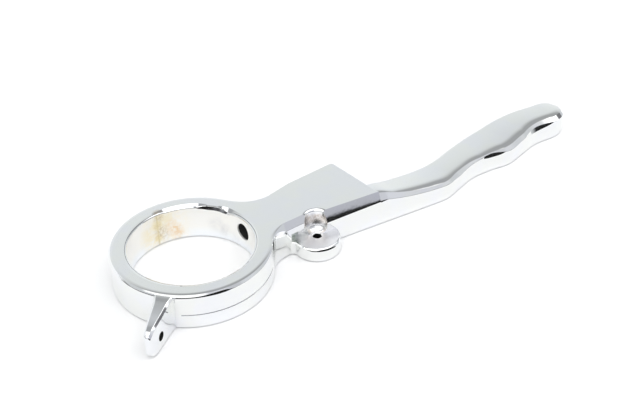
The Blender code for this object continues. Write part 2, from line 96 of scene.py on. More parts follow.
# Arm block
BLOCK_BACK_END_Y = 0.0060
BLOCK_CORNER_RADIUS = 0.0015
BACK_FILLET = ((0.0332, 0.0167), 0.0120)
FRONT_FILLET = ((0.0270, -0.0215), 0.0095)
FRONT_FILLET_END = math.radians(88)
NECK_WALL_END = (0.0347, -0.0123)
FRONT_WALL_START = 0.0394
FRONT_WALL_Y0 = -0.0080
FRONT_WALL_SLOPE = -0.172
UPPER_FACET_HEIGHT = 0.0023
UPPER_FACET_RISE = 2.20
LOWER_FACET_HEIGHT = (0.0018, 0.0010)

# Pivot ear, pocket and slot
EAR_CENTRE = (0.0376, -0.0146)
EAR_RADIUS = 0.0076
EAR_HEIGHT = 0.0049
EAR_ROOT_FILLET = 0.0017
EAR_ROOT_DEPTH = 0.0020
EAR_END_ANGLE = math.radians(372)
POCKET_RADIUS = 0.0038
POCKET_FLOOR_FILLET = 0.0021
POCKET_RIM = 0.0011
EAR_HOLE_RADIUS = 0.0013
EAR_HOLE_EDGE = 0.0003
SLOT_START = 0.0293
SLOT_DEPTH_Y = -0.0098
SLOT_HEIGHT = 0.0030
SLOT_MOUTH_Y = -0.0119

# Line between the ring's lower band and its upper wall
BAND_LINE_RADIUS = 0.00018
BAND_LINE_START = math.radians(-132)
BAND_LINE_END = math.radians(-47)

# Spring lug: distance from the hub axis, half thickness, lowest and highest point of each section
LUG_ANGLE = math.radians(-143)
LUG_HOLE_RADIUS = 0.0014
LUG_HOLE_POSITION = (0.0334, 0.0042)
LUG_EDGE = 0.0007
LUG_SECTIONS = (
    (0.0225, 0.0036, 0.0000, 0.0117),
    (0.0250, 0.0029, 0.0000, 0.0116),
    (0.0268, 0.0024, 0.0000, 0.0112),
    (0.0310, 0.0020, 0.0000, 0.0105),
    (0.0350, 0.0016, 0.0000, 0.0100),
    (0.0370, 0.0014, 0.0001, 0.0096),
    (0.0384, 0.0012, 0.0008, 0.0089),
    (0.0391, 0.0009, 0.0020, 0.0080),
    (0.0394, 0.0005, 0.0035, 0.0068),
)

# Grip: x, back y, front y, top z, light facet's width and height, crown's reach and drop at each station
GRIP_STATIONS = (
    (0.0580, -0.01000, -0.01797, 0.01205, 0.00185, 0.00235, 0.0010, 0.00012),
    (0.0600, -0.01000, -0.01831, 0.01200, 0.00180, 0.00220, 0.0012, 0.00015),
    (0.0640, -0.00990, -0.01900, 0.01145, 0.00150, 0.00180, 0.0016, 0.00025),
    (0.0690, -0.00975, -0.01986, 0.00995, 0.00120, 0.00140, 0.0020, 0.00033),
    (0.0750, -0.00970, -0.02089, 0.00875, 0.00090, 0.00105, 0.0026, 0.00050),
    (0.0820, -0.00995, -0.02205, 0.00790, 0.00075, 0.00085, 0.0030, 0.00055),
    (0.0885, -0.01010, -0.02280, 0.00755, 0.00080, 0.00090, 0.0028, 0.00042),
    (0.0950, -0.00960, -0.02150, 0.00755, 0.00110, 0.00120, 0.0022, 0.00026),
    (0.1035, -0.00790, -0.01985, 0.00760, 0.00060, 0.00068, 0.0022, 0.00030),
    (0.1120, -0.00670, -0.02050, 0.00770, 0.00022, 0.00026, 0.0026, 0.00034),
    (0.1200, -0.00620, -0.02205, 0.00800, 0.00105, 0.00120, 0.0030, 0.00050),
    (0.1280, -0.00590, -0.02080, 0.00845, 0.00110, 0.00125, 0.0030, 0.00050),
    (0.1370, -0.00660, -0.01945, 0.00880, 0.00080, 0.00090, 0.0028, 0.00046),
    (0.1460, -0.00840, -0.02060, 0.00880, 0.00150, 0.00105, 0.0026, 0.00044),
)
# Stretches where the grip's facet has a steep foot: start, end, height
GRIP_STEEP = ((0.0560, 0.0640, 0.00050), (0.1076, 0.1175, 0.00120), (0.1300, 0.1450, 0.00140))
GRIP_STEEP_LEAST = 0.00008
GRIP_CAMBER = 0.00015
FACET_STEEPER = 1.12
GRIP_STEP = 0.0006
TIP_LENGTH = 0.0076
TIP_STEPS = 32
TIP_TOP_DROP = 0.13
TIP_BOTTOM_RISE = 0.16
TIP_END_ANGLE = math.radians(86)

GRIP_BACK_ROUND = 0.0016
TIP_WIDTH_POWER = 0.75
TIP_HEIGHT_POWER = 0.9
# The grip's steep facet leans back more where the front wall turns past this start
GRIP_STEEP_TILT = math.radians(68)
GRIP_TURN_START = math.radians(-98.5)
GRIP_TILT_LOSS = 0.27

# Steps round the curves
BORE_STEPS = 256
RING_STEPS = 300
EAR_STEPS = 110
CORNER_STEPS = 12
BACK_FILLET_STEPS = 32
FRONT_FILLET_STEPS = 28
# Height and tilt in degrees of the liner's steep lip, by angle round the bore in degrees
LIP_ROWS = (
    (0, 0.00030, 65.0),
    (14, 0.00040, 66.3),
    (20, 0.00080, 67.6),
    (26, 0.00110, 68.7),
    (34, 0.00118, 69.7),
    (41, 0.00118, 70.4),
    (47, 0.00080, 70.8),
    (52, 0.00030, 71.0),
    (62, 0.00020, 71.0),
    (75, 0.00020, 70.5),
    (110, 0.00025, 67.0),
    (180, 0.00020, 66.0),
    (300, 0.00020, 66.0),
    (360, 0.00030, 65.0),
)
# How far a cutting shape runs past the metal, and the clearance round a part in its hole
PAST = 0.002
FIT = 0.0001

WELD_DISTANCE = 0.000002

# Plunger, its spring and the plug
TRAVEL = 0.0065
PLUNGER_GROOVES = (0.0030, 0.0060)
PLUNGER_BEVEL = math.radians(50)
SPRING_WIRE = 0.00035
SPRING_TURNS = 9
SPRING_END_TURNS = 1.2
PILOT_LENGTH = 0.0030
PILOT_RADIUS = 0.0012
PLUG_DEPTH = 0.0006
PLUG_SLOT_DEPTH = 0.0016
PLUG_SLOT_HALF = 0.0006


for obj in list(bpy.data.objects):
    bpy.data.objects.remove(obj, do_unlink=True)
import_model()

plunger_low, plunger_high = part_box("clutch_plunger")
pin_low, pin_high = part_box("plunger_key_pin")
spring_low, spring_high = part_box("plunger_spring")
plug_low, plug_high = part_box("spring_plug")
RING_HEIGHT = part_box("lever_casting")[1].z
PLUNGER_RADIUS = (plunger_high.y - plunger_low.y) / 2
BORE_Z = (plug_high.z + plug_low.z) / 2
PLUG_RADIUS = (plug_high.y - plug_low.y) / 2
BLOCK_END = plug_high.x + PLUG_DEPTH
TO_X_AXIS = Matrix.Translation((0, 0, BORE_Z)) @ Matrix.Rotation(math.radians(90), 4, "Y")


# ---- mesh helpers

def add_object(name, verts, faces, matrix=None):
    mesh = bpy.data.meshes.new(name)
    mesh.from_pydata([tuple(v) for v in verts], [], faces)
    bm = bmesh.new()
    bm.from_mesh(mesh)
    bmesh.ops.remove_doubles(bm, verts=bm.verts, dist=WELD_DISTANCE)
    bmesh.ops.recalc_face_normals(bm, faces=bm.faces)
    bm.to_mesh(mesh)
    bm.free()
    if matrix:
        mesh.transform(matrix)
    obj = bpy.data.objects.new(name, mesh)
    bpy.context.scene.collection.objects.link(obj)
    return obj


def skin(name, sections):
    """A closed skin over rings of points, each with the same number of points."""
    count = len(sections[0])
    verts = [point for section in sections for point in section]
    faces = []
    for k in range(len(sections) - 1):
        for i in range(count):
            j = (i + 1) % count
            faces.append((k * count + i, k * count + j, (k + 1) * count + j, (k + 1) * count + i))
    faces.append(tuple(range(count)))
    faces.append(tuple((len(sections) - 1) * count + i for i in range(count)))
    return add_object(name, verts, faces)


def lathe(name, profile, steps, matrix=None, profile_at=None):
    """A profile of (radius, height) points turned about Z. It is closed onto itself, or onto the axis."""
    on_axis = profile[0][0] == 0
    verts = []
    faces = []
    count = len(profile)
    for i in range(steps):
        angle = math.tau * i / steps
        here = profile_at(angle) if profile_at else profile
        verts += [(r * math.cos(angle), r * math.sin(angle), z) for r, z in here]
    last = count - 1 if on_axis else count
    for i in range(steps):
        a, b = i * count, ((i + 1) % steps) * count
        for k in range(last):
            m = (k + 1) % count
            corners = [a + k, b + k, b + m, a + m]
            if profile[k][0] == 0:
                corners.remove(b + k)
            if profile[m][0] == 0:
                corners.remove(b + m)
            faces.append(tuple(corners))
    return add_object(name, verts, faces, matrix)


def box(name, low, high, matrix=None):
    corners = [(x, y, z) for x in (low[0], high[0]) for y in (low[1], high[1]) for z in (low[2], high[2])]
    faces = [(0, 1, 3, 2), (4, 6, 7, 5), (0, 4, 5, 1), (2, 3, 7, 6), (0, 2, 6, 4), (1, 5, 7, 3)]
    return add_object(name, corners, faces, matrix)


def tube(name, points, radius, sides):
    """A round wire along points, each ring square to the path."""
    sections = []
    up = Vector((0.13, 0.21, 0.97)).normalized()
    for i, point in enumerate(points):
        before = Vector(points[max(i - 1, 0)])
        after = Vector(points[min(i + 1, len(points) - 1)])
        along = (after - before).normalized()
        side = along.cross(up).normalized()
        top = side.cross(along).normalized()
        ring = []
        for k in range(sides):
            angle = math.tau * k / sides
            ring.append(Vector(point) + side * radius * math.cos(angle) + top * radius * math.sin(angle))
        sections.append(ring)
    return skin(name, sections)


def cut(target, tool, operation="DIFFERENCE"):
    """Applies a boolean at once and removes the tool."""
    modifier = target.modifiers.new("cut", "BOOLEAN")
    modifier.operation = operation
    modifier.solver = "MANIFOLD"
    modifier.object = tool
    apply_modifiers(target)
    bpy.data.objects.remove(tool, do_unlink=True)


def apply_modifiers(obj):
    bpy.context.view_layer.update()
    graph = bpy.context.evaluated_depsgraph_get()
    mesh = bpy.data.meshes.new_from_object(obj.evaluated_get(graph))
    obj.modifiers.clear()
    obj.data = mesh


def finish_shading(obj, sharp_angle=30):
    """Smooth shading, sharp at real edges, with the large faces' normals kept flat."""
    mesh = obj.data
    mesh.shade_smooth()
    mesh.set_sharp_from_angle(angle=math.radians(sharp_angle))
    modifier = obj.modifiers.new("normals", "WEIGHTED_NORMAL")
    modifier.mode = "FACE_AREA"
    modifier.weight = 60
    modifier.keep_sharp = True
    apply_modifiers(obj)


def ride_for(obj, node, body, material, sharp=30):
    """Finishes a piece and lets it stand for a CAD node of a body."""
    obj.data.materials.clear()
    obj.data.materials.append(material)
    finish_shading(obj, sharp)
    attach(obj, body)
    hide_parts(node)


def arc(centre, radius, start, end, steps):
    angles = [start + (end - start) * i / steps for i in range(steps + 1)]
    return [(centre[0] + radius * math.cos(a), centre[1] + radius * math.sin(a)) for a in angles]


def direction(centre, point):
    return math.atan2(point[1] - centre[1], point[0] - centre[0])


def mix(a, b, t):
    return a + (b - a) * t


def fraction(value, low, high):
    """How far a value is from low to high, held between 0 and 1."""
    return min(max((value - low) / (high - low), 0), 1)


def outward_normals(points, square_corner=None):
    """Outward normals of an anticlockwise outline, longer at its corners but not at the square one."""
    normals = []
    count = len(points)
    for i in range(count):
        before = Vector(points[i]) - Vector(points[i - 1])
        after = Vector(points[(i + 1) % count]) - Vector(points[i])
        n1 = Vector((before.y, -before.x)).normalized()
        n2 = Vector((after.y, -after.x)).normalized()
        middle = (n1 + n2).normalized()
        normals.append(n1 if i == square_corner else middle / max(middle.dot(n1), 0.5))
    return normals


def rounded_prism(name, points, profiles, square_corner=None):
    """An upright prism on an outline. Each point has a profile of (inset, z), all with the same count."""
    normals = outward_normals(points, square_corner)
    sections = []
    for k in range(len(profiles[0])):
        ring = []
        for point, normal, profile in zip(points, normals, profiles):
            inset, z = profile[k]
            ring.append((point[0] - normal.x * inset, point[1] - normal.y * inset, z))
        sections.append(ring)
    return skin(name, sections)


def smooth_row(rows, x):
    """Values at x on the smooth curve through rows of (x, value, value...)."""
    last = len(rows) - 2
    i = max(k for k in range(last + 1) if k == 0 or rows[k][0] <= x)
    before = rows[max(i - 1, 0)]
    start, end = rows[i], rows[i + 1]
    after = rows[min(i + 2, last + 1)]
    span = end[0] - start[0]
    t = (x - start[0]) / span
    values = []
    for k in range(1, len(start)):
        slope_in = (end[k] - before[k]) / (end[0] - before[0]) * span
        slope_out = (after[k] - start[k]) / (after[0] - start[0]) * span
        values.append(
            (2 * t**3 - 3 * t**2 + 1) * start[k]
            + (t**3 - 2 * t**2 + t) * slope_in
            + (3 * t**2 - 2 * t**3) * end[k]
            + (t**3 - t**2) * slope_out
        )
    return values


# ---- casting

def front_wall_y(x):
    return FRONT_WALL_Y0 + FRONT_WALL_SLOPE * x


# One top edge. The wall ends at a drop below the top. A steep facet stands on it at its tilt in degrees,
# where 90 is upright. A flatter facet leads to the inset, at the start's depth below the top, and a crown
# of the given reach leads to the flat.
Edge = namedtuple("Edge", "drop steep tilt inset start reach")

BLOCK_EDGE = Edge(0.00034, 0.00004, 68, 0.00012, 0.00004, 0.00026)
NECK_EDGE = Edge(0.0023, 0.00006, 68, 0.00145, 0.00000, 0.00006)
EAR_EDGE = Edge(0.00085, 0.00030, 70, 0.00045, 0.00012, 0.00036)
EAR_ROOT_EDGE = Edge(0.00040, 0.00002, 70, 0.00030, 0.00006, 0.00020)
EAR_THICK_STEEP = 0.00058
# Degrees between which the ear's edge grows full, and its steep facet grows tall and falls again
EAR_FULL = (196, 218)
EAR_TALL_RISE = (228, 240)
EAR_TALL_FALL = (266, 280)
# Tilt of the ear's steep facet by angle in degrees
EAR_TILT_ROWS = (
    (150, 70.0),
    (230, 69.9),
    (242, 69.2),
    (250, 68.6),
    (258, 67.8),
    (266, 66.6),
    (274, 65.1),
    (372, 62.0),
)
RING_CROWN_START = 0.00017
RING_CROWN_REACH = 0.0010
BLOCK_STEEP_TILT = 68
CROWN_STEPS = 5
# The ring's edge by angle in degrees: the wall's drop, steep facet's height and tilt, crown's inset
RING_EDGE_ROWS = (
    (20, 0.00060, 0.00004, 68.0, 0.00030),
    (40, 0.00095, 0.00006, 68.0, 0.00052),
    (170, 0.00100, 0.00008, 64.0, 0.00052),
    (192, 0.00100, 0.00014, 65.0, 0.00052),
    (202, 0.00108, 0.00030, 66.6, 0.00052),
    (212, 0.00118, 0.00042, 67.7, 0.00052),
    (224, 0.00114, 0.00034, 68.4, 0.00052),
    (236, 0.00107, 0.00028, 68.6, 0.00052),
    (244, 0.00107, 0.00040, 68.3, 0.00052),
    (251, 0.00112, 0.00064, 67.9, 0.00052),
    (259, 0.00112, 0.00064, 67.2, 0.00054),
    (264, 0.00100, 0.00014, 67.0, 0.00054),
    (275, 0.00095, 0.00004, 66.0, 0.00054),
    (296, 0.00092, 0.00004, 66.0, 0.00054),
    (312, 0.00050, 0.00004, 66.0, 0.00026),
    (330, 0.00050, 0.00004, 68.0, 0.00026),
)


def bottom_points():
    angles = [math.radians(90) * i / 10 for i in range(11)]
    size = BOTTOM_ROUNDING
    return [(size * (1 - math.sin(a)), size * (1 - math.cos(a))) for a in angles]


def edge_points(edge, height):
    """(inset, z) points from the foot of a wall to its finished top edge."""
    knee = (edge.steep / math.tan(math.radians(edge.tilt)), height - edge.drop + edge.steep)
    points = bottom_points() + [(0, height - edge.drop), knee]
    for i in range(CROWN_STEPS + 1):
        t = i / CROWN_STEPS
        points.append((edge.inset + edge.reach * t, height - edge.start * (1 - t) ** 2))
    return points


def mix_edges(a, b, t):
    return Edge(*(mix(p, q, t) for p, q in zip(a, b)))


def ring_edge(angle):
    drop, steep, tilt, inset = smooth_row(RING_EDGE_ROWS, math.degrees(angle) % 360)
    return Edge(drop, max(steep, 0.00003), tilt, inset, RING_CROWN_START, RING_CROWN_REACH)


def front_edge(t):
    """The block's two-facet chamfer; t runs from 0 at the pocket to 1 at the block's end."""
    steep = mix(LOWER_FACET_HEIGHT[0], LOWER_FACET_HEIGHT[1], t)
    inset = steep / math.tan(math.radians(BLOCK_STEEP_TILT)) + UPPER_FACET_HEIGHT / UPPER_FACET_RISE
    return Edge(UPPER_FACET_HEIGHT + steep, steep, BLOCK_STEEP_TILT, inset, 0, 0.00004)


def make_arm():
    outline = []
    edges = []

    def put(points, kinds):
        outline.extend(points)
        edges.extend(kinds)

    corner = (BLOCK_END - BLOCK_CORNER_RADIUS, BLOCK_BACK_END_Y - BLOCK_CORNER_RADIUS)
    front_corner = (BLOCK_END, front_wall_y(BLOCK_END))
    put([front_corner], [front_edge(1)])
    put([(BLOCK_END, mix(front_corner[1], corner[1], t)) for t in (0.12, 0.5)], [BLOCK_EDGE] * 2)
    points = arc(corner, BLOCK_CORNER_RADIUS, 0, math.radians(90), CORNER_STEPS)
    put(points, [BLOCK_EDGE] * len(points))
    fillet_centre, fillet_radius = BACK_FILLET
    back_to = direction(fillet_centre, (0, 0)) % math.tau
    points = arc(fillet_centre, fillet_radius, math.radians(270), back_to, BACK_FILLET_STEPS)[:-1]
    put([(mix(corner[0], points[0][0], t), BLOCK_BACK_END_Y) for t in (0.33, 0.66)], [BLOCK_EDGE] * 2)
    ring_back = direction((0, 0), fillet_centre)
    count = len(points)
    put(points, [mix_edges(BLOCK_EDGE, ring_edge(ring_back), i / count) for i in range(count)])

    front_centre, front_radius = FRONT_FILLET
    ring_front = direction((0, 0), front_centre) + math.tau
    points = arc((0, 0), RING_RADIUS, ring_back, ring_front, RING_STEPS)[:-1]
    put(points, [ring_edge(math.atan2(y, x)) for x, y in points])
    steps = FRONT_FILLET_STEPS
    points = arc(front_centre, front_radius, direction(front_centre, (0, 0)), FRONT_FILLET_END, steps)
    put(points, [mix_edges(ring_edge(ring_front), NECK_EDGE, (i / steps) ** 3) for i in range(steps + 1)])
    put([NECK_WALL_END], [NECK_EDGE])
    count = 16
    for i in range(count):
        x = mix(FRONT_WALL_START, BLOCK_END, i / count)
        put([(x, front_wall_y(x))], [front_edge(i / count)])
    profiles = [edge_points(edge, RING_HEIGHT) for edge in edges]
    return rounded_prism("lever_body", outline, profiles, square_corner=0)


def ear_edge(point):
    """The ear's edge grows from its root to the front. Its steep facet is tallest on the grip's side."""
    angle = math.degrees(direction(EAR_CENTRE, point)) % 360
    tall = fraction(angle, *EAR_TALL_RISE) * (1 - fraction(angle, *EAR_TALL_FALL))
    tilt = smooth_row(EAR_TILT_ROWS, min(max(angle, EAR_TILT_ROWS[0][0]), EAR_TILT_ROWS[-1][0]))[0]
    edge = EAR_EDGE._replace(steep=mix(EAR_EDGE.steep, EAR_THICK_STEEP, tall), tilt=tilt)
    return mix_edges(EAR_ROOT_EDGE, edge, fraction(angle, *EAR_FULL))


def make_ear():
    wall = FRONT_FILLET[0][1] + FRONT_FILLET[1]
    fillet_y = wall - EAR_ROOT_FILLET
    reach = EAR_RADIUS + EAR_ROOT_FILLET
    fillet = (EAR_CENTRE[0] - math.sqrt(reach**2 - (fillet_y - EAR_CENTRE[1]) ** 2), fillet_y)
    ear_from = direction(EAR_CENTRE, fillet) % math.tau
    points = arc(fillet, EAR_ROOT_FILLET, FRONT_FILLET_END, direction(fillet, EAR_CENTRE), 14)
    points += arc(EAR_CENTRE, EAR_RADIUS, ear_from, EAR_END_ANGLE, EAR_STEPS)[1:]
    root_y = wall + EAR_ROOT_DEPTH
    points += [(EAR_CENTRE[0] + EAR_RADIUS, root_y), (fillet[0], root_y)]
    return rounded_prism("ear", points, [edge_points(ear_edge(point), EAR_HEIGHT) for point in points])


def corner_points(across, up, side, rise, size, power, steps, from_below):
    """Points round one corner of the given size."""
    points = []
    for i in range(steps + 1):
        angle = math.radians(90) * i / steps
        a = math.cos(angle) ** (2 / power)
        b = math.sin(angle) ** (2 / power)
        if from_below:
            a, b = b, a
        points.append((across + side * size * (1 - a), up + rise * size * (1 - b)))
    return points


def steep_height(x):
    height = GRIP_STEEP_LEAST
    for start, end, most in GRIP_STEEP:
        if start < x < end:
            height += most * math.sin(math.pi * (x - start) / (end - start)) ** 0.7
    return height


def steep_tilt(turn):
    """The steep facet leans back more where the front wall turns towards the tip (turn in radians)."""
    return GRIP_STEEP_TILT - GRIP_TILT_LOSS * max(turn - GRIP_TURN_START, 0)


def grip_section(front, back, low, top, facet, steep, crown, scale=1.0):
    """One section of the grip as (y, z) points: foot, front wall, two facets, crown and rounded back."""
    width = back - front
    foot = min(BOTTOM_ROUNDING, width / 4)
    facet_width, facet_height = facet[0] * scale, facet[1] * FACET_STEEPER * scale
    steep_width, steep_rise = steep[0] * scale, steep[1] * scale
    back_round = min(GRIP_BACK_ROUND, width * 0.3)
    reach = min(crown[0], width * 0.4)
    drop = crown[1] * reach / crown[0]
    start = front + steep_width + facet_width
    brow = top - drop - GRIP_CAMBER * scale
    points = corner_points(front, low, 1, 1, foot, 2, 10, False)[::-1]
    points.append((front, brow - facet_height - steep_rise))
    points.append((front + steep_width, brow - facet_height))
    count = 18
    for i in range(count + 1):
        u = i / count
        y = start + (back - back_round - start) * u**1.5
        near = max(0.0, 1 - (y - start) / reach)
        camber = GRIP_CAMBER * scale * (2 * u**1.5 - 1) ** 2
        points.append((y, top - drop * near**2 - camber))
    edge_top = points[-1][1]
    points += corner_points(back, edge_top, -1, -1, back_round, 2, 10, True)[1:]
    points += corner_points(back, low, -1, 1, foot, 2, 10, True)[::-1]
    return points


def make_grip():
    first, last = GRIP_STATIONS[0][0], GRIP_STATIONS[-1][0]
    steps = round((last - first) / GRIP_STEP)
    sections = []
    for i in range(steps + 1):
        x = mix(first, last, i / steps)
        back, front, top, *facet, reach, drop = smooth_row(GRIP_STATIONS, x)
        ahead = smooth_row(GRIP_STATIONS, min(x + GRIP_STEP, last))[1]
        turn = math.atan2(-GRIP_STEP, ahead - front) if x < last - GRIP_STEP else math.radians(-97)
        height = steep_height(x)
        steep = (height / math.tan(steep_tilt(turn)), height)
        ring = grip_section(front + 0.00001, back, 0, top, facet, steep, (reach, drop))
        sections.append([(x, y, z) for y, z in ring])
    middle = (back + front) / 2
    half_width = (back - front) / 2
    for i in range(1, TIP_STEPS + 1):
        angle = TIP_END_ANGLE * i / TIP_STEPS
        shrink = math.cos(angle) ** TIP_WIDTH_POWER
        width = half_width * shrink
        closing = 1 - math.cos(angle) ** TIP_HEIGHT_POWER
        lower = top * TIP_BOTTOM_RISE * closing
        upper = top * (1 - TIP_TOP_DROP * closing)
        tip_front, tip_back = middle - width, middle + width
        ring = grip_section(tip_front, tip_back, lower, upper, facet, steep, (reach, drop), shrink)
        sections.append([(last + TIP_LENGTH * math.sin(angle), y, z) for y, z in ring])
    return skin("grip", sections)


def make_lug():
    outward = Vector((math.cos(LUG_ANGLE), math.sin(LUG_ANGLE), 0))
    across = Vector((-outward.y, outward.x, 0))
    first, last = LUG_SECTIONS[0][0], LUG_SECTIONS[-1][0]
    reaches = [first + (last - first) * (1 - (1 - i / 40) ** 1.6) for i in range(41)]
    sections = []
    for reach in reaches:
        half, low, high = smooth_row(LUG_SECTIONS, min(reach, last - 1e-7))
        edge = min(LUG_EDGE, half * 0.6)
        foot = min(BOTTOM_ROUNDING, half * 0.5)
        ring = corner_points(-half, low, 1, 1, foot, 2, 8, False)
        ring += corner_points(half, low, -1, 1, foot, 2, 8, True)
        ring += corner_points(half, high, -1, -1, edge, 1.05, 10, False)
        ring += corner_points(-half, high, 1, -1, edge, 1.3, 10, True)
        sections.append([outward * reach + across * a + Vector((0, 0, z)) for a, z in ring])
    return skin("lug", sections)


def bore_mouth(angle):
    """Depth and outer radius of the bore's chamfer."""
    return smooth_row(BORE_MOUTH_ROWS, math.degrees(angle) % 360)


def bore_profile(angle):
    depth, mouth = bore_mouth(angle)
    height = RING_HEIGHT
    profile = [(0, height + PAST), (mouth + PAST, height + PAST), (mouth, height)]
    profile += [(BORE_RADIUS, height - depth), (BORE_RADIUS, 0.0003)]
    return profile + [(BORE_RADIUS + 0.0003 + PAST, -PAST), (0, -PAST)]


def make_casting(material):
    casting = make_arm()
    for piece in (make_ear(), make_lug(), make_grip()):
        cut(casting, piece, "UNION")

    height = RING_HEIGHT
    seat_x = plug_low.x + PILOT_LENGTH - 0.0003
    thread_radius = PLUG_RADIUS + FIT
    slide_radius = PLUNGER_RADIUS + FIT
    plunger_bore = [
        (0, BLOCK_END + PAST),
        (thread_radius + 0.0002 + PAST, BLOCK_END + PAST),
        (thread_radius, BLOCK_END - 0.0002),
        (thread_radius, seat_x),
        (slide_radius, seat_x),
        (slide_radius, BORE_RADIUS - PAST),
        (0, BORE_RADIUS - PAST),
    ]
    pin_radius = (pin_high.x - pin_low.x) / 2 + FIT
    pin_hole = [
        (0, pin_high.z + FIT),
        (pin_radius, pin_high.z + FIT),
        (pin_radius, 0.0002),
        (pin_radius + PAST, -PAST),
        (0, -PAST),
    ]
    pin_place = Matrix.Translation(((pin_high.x + pin_low.x) / 2, 0, 0))
    reach, lug_z = LUG_HOLE_POSITION
    lug_place = Matrix.Rotation(LUG_ANGLE, 4, "Z") @ Matrix.Translation((reach, 0, lug_z))
    lug_place = lug_place @ Matrix.Rotation(math.radians(90), 4, "X")
    lug_end = 0.005
    lug_hole = [(0, lug_end), (LUG_HOLE_RADIUS, lug_end), (LUG_HOLE_RADIUS, -lug_end), (0, -lug_end)]

    rim = POCKET_RADIUS + POCKET_RIM
    pocket = [(0, height + PAST), (rim, height + PAST), (rim, height)]
    rounding = arc((0, POCKET_RIM), POCKET_RIM, math.radians(-80), 0, 10)
    pocket += [(rim - r, height - z) for r, z in rounding]
    fillet = (POCKET_RADIUS - POCKET_FLOOR_FILLET, EAR_HEIGHT + POCKET_FLOOR_FILLET)
    pocket += arc(fillet, POCKET_FLOOR_FILLET, 0, math.radians(-90), 12)
    pocket += [
        (EAR_HOLE_RADIUS + EAR_HOLE_EDGE, EAR_HEIGHT),
        (EAR_HOLE_RADIUS, EAR_HEIGHT - EAR_HOLE_EDGE),
        (EAR_HOLE_RADIUS, -PAST),
        (0, -PAST),
    ]
    slot_low = (SLOT_START, EAR_CENTRE[1], EAR_HEIGHT)
    slot_high = (EAR_CENTRE[0] - POCKET_RADIUS / 2, SLOT_DEPTH_Y, EAR_HEIGHT + SLOT_HEIGHT)
    line = [(x, y, EAR_HEIGHT) for x, y in arc((0, 0), RING_RADIUS, BAND_LINE_START, BAND_LINE_END, 90)]
    tools = (
        lathe("bore", bore_profile(0), BORE_STEPS, profile_at=bore_profile),
        lathe("plunger_bore", plunger_bore, 96, TO_X_AXIS),
        lathe("pin_hole", pin_hole, 48, pin_place),
        lathe("lug_hole", lug_hole, 64, lug_place),
        lathe("pocket", pocket, 128, Matrix.Translation((*EAR_CENTRE, 0))),
        box("slot", slot_low, slot_high),
        tube("band_line", line, BAND_LINE_RADIUS, 12),
    )
    for tool in tools:
        cut(casting, tool)
    casting.name = "casting"
    ride_for(casting, "lever_casting", "lever", material, 10)


# ---- inner pieces

def liner_profile(angle):
    """Down the outside, up the inside, and over a steep polished lip that is deepest by the arm."""
    outer = BORE_RADIUS - LINER_GAP
    inner = outer - LINER_WALL
    depth, _ = bore_mouth(angle)
    top = RING_HEIGHT - depth - LINER_GAP
    profile = [(outer, top), (outer, LINER_BOTTOM)]
    for a in (math.pi / 2, math.pi / 4, 0):
        inset, rise = LINER_FOOT * (1 - math.cos(a)), LINER_FOOT * (1 - math.sin(a))
        profile.append((inner + inset, LINER_BOTTOM + rise))
    lip_z = top - LINER_LIP_DROP
    rest = LINER_WALL - LINER_LIP
    steep, tilt = smooth_row(LIP_ROWS, math.degrees(angle) % 360)
    width = steep / math.tan(math.radians(tilt))
    profile.append((inner, lip_z - steep))
    profile.append((inner + width, lip_z))
    profile.append((inner + max(width, rest) + 0.00001, lip_z + 0.00001))
    return profile


def make_liner(material):
    outer = BORE_RADIUS - LINER_GAP
    inner = outer - LINER_WALL
    profile = liner_profile(0)
    liner = lathe("liner", profile, BORE_STEPS, profile_at=liner_profile)
    seam_at = Matrix.Rotation(LINER_SEAM_ANGLE, 4, "Z")
    half = LINER_SEAM_WIDTH / 2
    seam_low = (inner - PAST, -half, -PAST)
    seam_high = (outer + PAST, half, RING_HEIGHT + PAST)
    cut(liner, box("seam", seam_low, seam_high, seam_at))
    side, start, end = PLUNGER_RADIUS + FIT, inner / 2, outer + PAST
    window = [(0, end), (side, end), (side, start), (0, start)]
    cut(liner, lathe("window", window, 96, TO_X_AXIS))
    ride_for(liner, "bore_liner", "lever", material, 13)


def make_plunger(material):
    nose, tail = plunger_low.x, plunger_high.x
    radius = PLUNGER_RADIUS
    edge = 0.0004
    profile = [(0, tail), (radius - edge, tail), (radius, tail - edge)]
    for groove_x in [tail - back for back in PLUNGER_GROOVES]:
        profile += [(radius, groove_x + 0.0002), (radius - 0.0002, groove_x + 0.0001)]
        profile += [(radius - 0.0002, groove_x - 0.0001), (radius, groove_x - 0.0002)]
    profile += [(radius, nose + edge), (radius - edge * 0.3, nose + edge * 0.3)]
    profile += [(radius - edge, nose), (0, nose)]
    plunger = lathe("plunger", profile, 96, TO_X_AXIS)
    slope = Matrix.Translation((nose, 0, BORE_Z)) @ Matrix.Rotation(PLUNGER_BEVEL, 4, "Z")
    reach = 0.010
    cut(plunger, box("bevel", (-reach, 0, -reach), (reach, reach, reach), slope))
    half = (pin_high.y - pin_low.y) / 2 + 0.0002
    middle = (pin_high.x + pin_low.x) / 2
    keyway_end = (middle + half + TRAVEL, half, pin_high.z + FIT)
    cut(plunger, box("keyway", (middle - half, -half, 0), keyway_end))
    ride_for(plunger, "clutch_plunger", "plunger", material)


def make_key_pin(material):
    radius = (pin_high.x - pin_low.x) / 2
    edge = 0.00025
    profile = [(0, pin_high.z), (radius - edge, pin_high.z)]
    for a in (math.pi / 6, math.pi / 3, math.pi / 2):
        profile.append((radius - edge * (1 - math.sin(a)), pin_high.z - edge * (1 - math.cos(a))))
    profile += [(radius, pin_low.z + edge), (radius - edge * 0.3, pin_low.z + edge * 0.3)]
    profile += [(radius - edge, pin_low.z), (0, pin_low.z)]
    pin = lathe("key_pin", profile, 48, Matrix.Translation(((pin_high.x + pin_low.x) / 2, 0, 0)))
    ride_for(pin, "plunger_key_pin", "lever", material)


